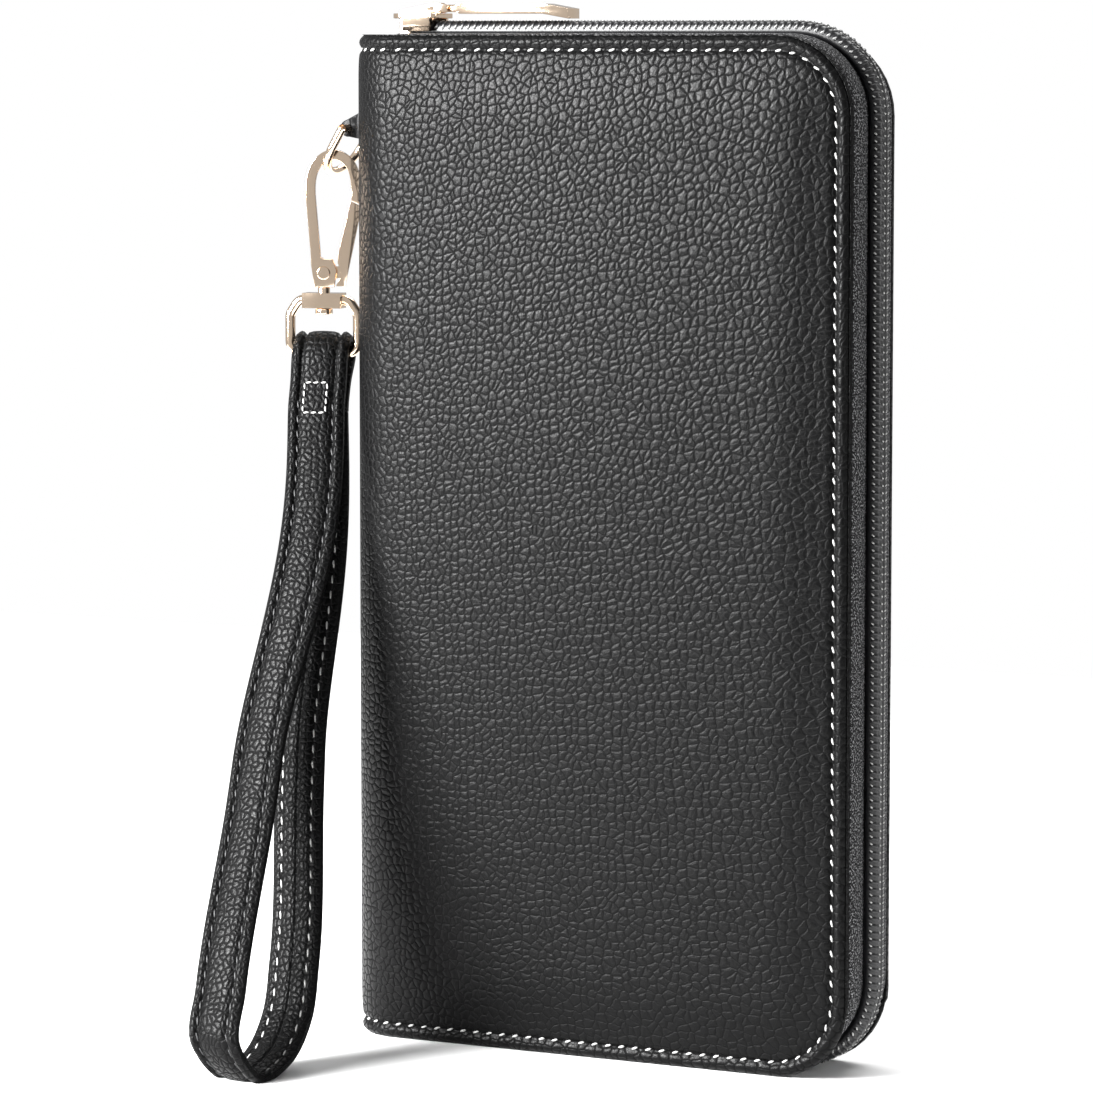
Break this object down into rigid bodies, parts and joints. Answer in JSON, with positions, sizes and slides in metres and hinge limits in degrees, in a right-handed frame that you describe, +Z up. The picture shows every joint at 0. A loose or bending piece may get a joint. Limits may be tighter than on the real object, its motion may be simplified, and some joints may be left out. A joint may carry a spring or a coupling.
{
  "type": "zip around wallet",
  "caption": "Tall pebbled leather wallet with a zip round three edges, card slots, a zipped coin pocket and a clip-on wrist strap.",
  "frame": {"origin": "middle of the spine's axis at the base, where the wallet stands on its short edge", "axes": "+Z up along the spine, +X from the spine to the zipped edge, the front cover faces -Y"},
  "size_m": [0.1329, 0.0795, 0.212],
  "materials": {
    "cover_leather": "black pebbled leather, soft sheen",
    "strap_leather": "black pebbled leather with pressed grooves",
    "pocket_leather": "smooth black leather",
    "lining_cloth": "black woven lining",
    "foam": "thin padding, hidden",
    "board": "stiff board, hidden",
    "zip_tape": "black woven tape",
    "zip_coil": "black nylon coil with pale sewing thread",
    "gold_metal": "polished pale gold plating"
  },
  "bodies": {
    "spine": {"coin_pocket_back_wall": "pocket_leather", "coin_pocket_front_wall": "pocket_leather", "coin_pocket_gusset": "pocket_leather", "coin_zip_back_tape": "zip_tape", "coin_zip_coil": "zip_coil", "coin_zip_front_tape": "zip_tape", "organiser_strip": "pocket_leather", "ring_tab": "strap_leather", "spine_bottom_patch": "lining_cloth", "spine_leather": "cover_leather", "spine_lining": "lining_cloth", "spine_top_patch": "lining_cloth"},
    "front_cover": {"front_board": "board", "front_cover_leather": "cover_leather", "front_lining": "lining_cloth", "front_lower_card_slot_1": "pocket_leather", "front_lower_card_slot_2": "pocket_leather", "front_lower_card_slot_3": "pocket_leather", "front_lower_card_slot_4": "pocket_leather", "front_padding": "foam", "front_upper_card_slot_1": "pocket_leather", "front_upper_card_slot_2": "pocket_leather", "front_upper_card_slot_3": "pocket_leather", "front_upper_card_slot_4": "pocket_leather", "front_zip_coil": "zip_coil", "front_zip_tape": "zip_tape"},
    "back_cover": {"back_board": "board", "back_cover_leather": "cover_leather", "back_lining": "lining_cloth", "back_lower_card_slot_1": "pocket_leather", "back_lower_card_slot_2": "pocket_leather", "back_lower_card_slot_3": "pocket_leather", "back_lower_card_slot_4": "pocket_leather", "back_padding": "foam", "back_upper_card_slot_1": "pocket_leather", "back_upper_card_slot_2": "pocket_leather", "back_upper_card_slot_3": "pocket_leather", "back_upper_card_slot_4": "pocket_leather", "back_zip_coil": "zip_coil", "back_zip_tape": "zip_tape"},
    "zip_slider": {"slider_body": "gold_metal", "slider_bail": "gold_metal"},
    "pull_link": {"pull_link": "gold_metal"},
    "pull_bar": {"pull_bar": "gold_metal"},
    "coin_slider": {"coin_zip_slider": "gold_metal"},
    "coin_pull": {"coin_zip_pull": "gold_metal"},
    "ring": {"d_ring": "gold_metal"},
    "hook": {"hook_body": "gold_metal", "hook_rivet": "gold_metal", "swivel_post": "gold_metal"},
    "gate": {"hook_gate": "gold_metal"},
    "swivel": {"strap_ring": "gold_metal"},
    "strap": {"strap_outer_ply": "strap_leather", "strap_inner_ply": "strap_leather"}
  },
  "joints": [
    {"name": "front_cover_open", "type": "hinge", "parent": "spine", "child": "front_cover", "pos_m": [0, -0.011, 0], "axis": [0, 0, -1], "range_deg": [0, 75]},
    {"name": "back_cover_open", "type": "hinge", "parent": "spine", "child": "back_cover", "pos_m": [0, 0.011, 0], "axis": [0, 0, 1], "range_deg": [0, 90]},
    {"name": "zip_travel", "type": "slide", "parent": "front_cover", "child": "zip_slider", "axis": [1, 0, 0], "range_m": [0, 0.078]},
    {"name": "pull_link_swing", "type": "hinge", "parent": "zip_slider", "child": "pull_link", "pos_m": [0.0063, 0, 0.2103], "axis": [0, -1, 0], "range_deg": [0, 90]},
    {"name": "pull_bar_swing", "type": "hinge", "parent": "pull_link", "child": "pull_bar", "pos_m": [0.0104, 0, 0.2102], "axis": [0, -1, 0], "range_deg": [0, 90]},
    {"name": "coin_zip_travel", "type": "slide", "parent": "spine", "child": "coin_slider", "axis": [0, 0, -1], "range_m": [0, 0.154]},
    {"name": "coin_pull_swing", "type": "hinge", "parent": "coin_slider", "child": "coin_pull", "pos_m": [0.0855, 0, 0.1825], "axis": [0, -1, 0], "range_deg": [0, 40]},
    {"name": "ring_swing", "type": "hinge", "parent": "spine", "child": "ring", "pos_m": [-0.0135, 0, 0.186], "axis": [0, 1, 0], "range_deg": [0, 60]},
    {"name": "hook_swing", "type": "hinge", "parent": "ring", "child": "hook", "pos_m": [-0.0189, 0, 0.1771], "axis": [0, 1, 0], "range_deg": [0, 18]},
    {"name": "gate_open", "type": "hinge", "parent": "hook", "child": "gate", "pos_m": [-0.0202, -0.00215, 0.1563], "axis": [0.4555, -0.8902, 0], "range_deg": [0, 22], "stiffness_Nm_per_rad": 0.01},
    {"name": "swivel_turn", "type": "hinge", "parent": "hook", "child": "swivel", "pos_m": [-0.0202, -0.00215, 0.15065], "axis": [0, 0, 1], "range_deg": [-140, 0]},
    {"name": "strap_swing", "type": "hinge", "parent": "swivel", "child": "strap", "pos_m": [-0.0202, -0.00215, 0.1399], "axis": [-0.9744, -0.225, 0], "range_deg": [0, 60]}
  ]
}
